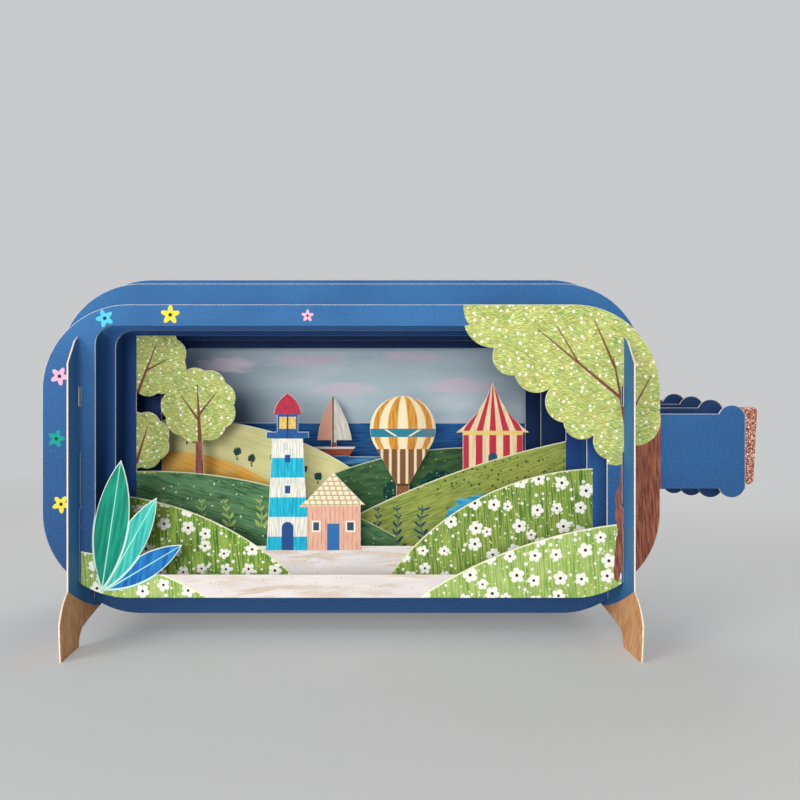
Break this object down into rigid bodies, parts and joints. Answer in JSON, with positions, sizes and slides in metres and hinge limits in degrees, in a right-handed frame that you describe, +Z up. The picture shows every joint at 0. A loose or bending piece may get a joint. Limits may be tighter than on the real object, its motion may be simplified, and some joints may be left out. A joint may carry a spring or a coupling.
{
  "type": "greeting card",
  "caption": "Pop-up greeting card shaped like a bottle on its side: die-cut card sheets one behind the other, slotted onto two stand panels with feet, with a glitter cork.",
  "frame": {"origin": "on the table, under the middle of the bounding box", "axes": "+X along the bottle towards its neck and cork, -Y the printed front, +Z up"},
  "size_m": [0.2449, 0.1138, 0.1223],
  "materials": {
    "front_print": "satin print",
    "second_print": "satin print",
    "third_print": "satin print",
    "fourth_print": "satin print",
    "fifth_print": "satin print",
    "back_print": "satin print",
    "stand_print": "satin print",
    "glitter_card": "glitter"
  },
  "bodies": {
    "root": {"front_sheet": "front_print", "second_sheet": "second_print", "third_sheet": "third_print", "fourth_sheet": "fourth_print", "fifth_sheet": "fifth_print", "back_sheet": "back_print", "left_stand": "stand_print", "right_stand": "stand_print", "cork": "glitter_card"}
  },
  "joints": []
}
